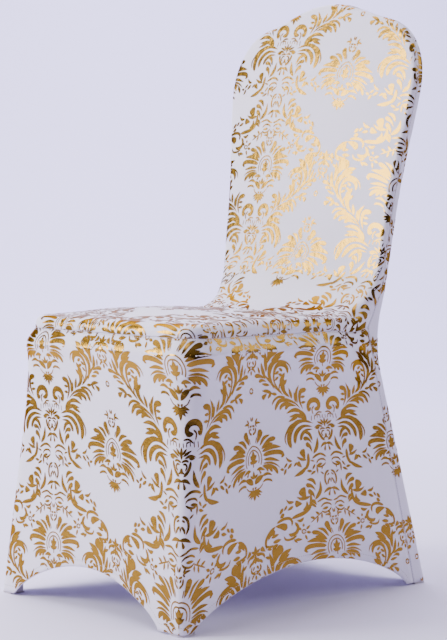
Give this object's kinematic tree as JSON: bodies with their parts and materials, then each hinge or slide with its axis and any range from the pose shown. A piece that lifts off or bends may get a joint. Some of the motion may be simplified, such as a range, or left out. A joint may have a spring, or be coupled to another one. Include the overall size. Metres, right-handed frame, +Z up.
{
  "type": "spandex chair cover",
  "caption": "Fitted stretch cover for a banquet chair, with foil damask print, arched hems and foot pockets.",
  "frame": {"origin": "inside the cover, under the middle of the backrest's top edge, where the chair's back holds it up", "axes": "+Z up, -Y towards the front of the seat, +X towards the viewer's right when the seat's front is seen"},
  "size_m": [0.4193, 0.5412, 0.9253],
  "materials": {
    "white_spandex": "smooth two-way stretch knit, soft satin sheen",
    "gold_foil": "gold foil print on the knit, bright where it turns to the light",
    "pocket_cloth": "doubled knit of the foot pockets, matt"
  },
  "bodies": {
    "root": {"front_panel": "white_spandex", "skirt": "white_spandex", "back_panel": "white_spandex", "foot_pocket_front_left": "pocket_cloth", "foot_pocket_front_right": "pocket_cloth", "foot_pocket_rear_left": "pocket_cloth", "foot_pocket_rear_right": "pocket_cloth"}
  },
  "joints": []
}
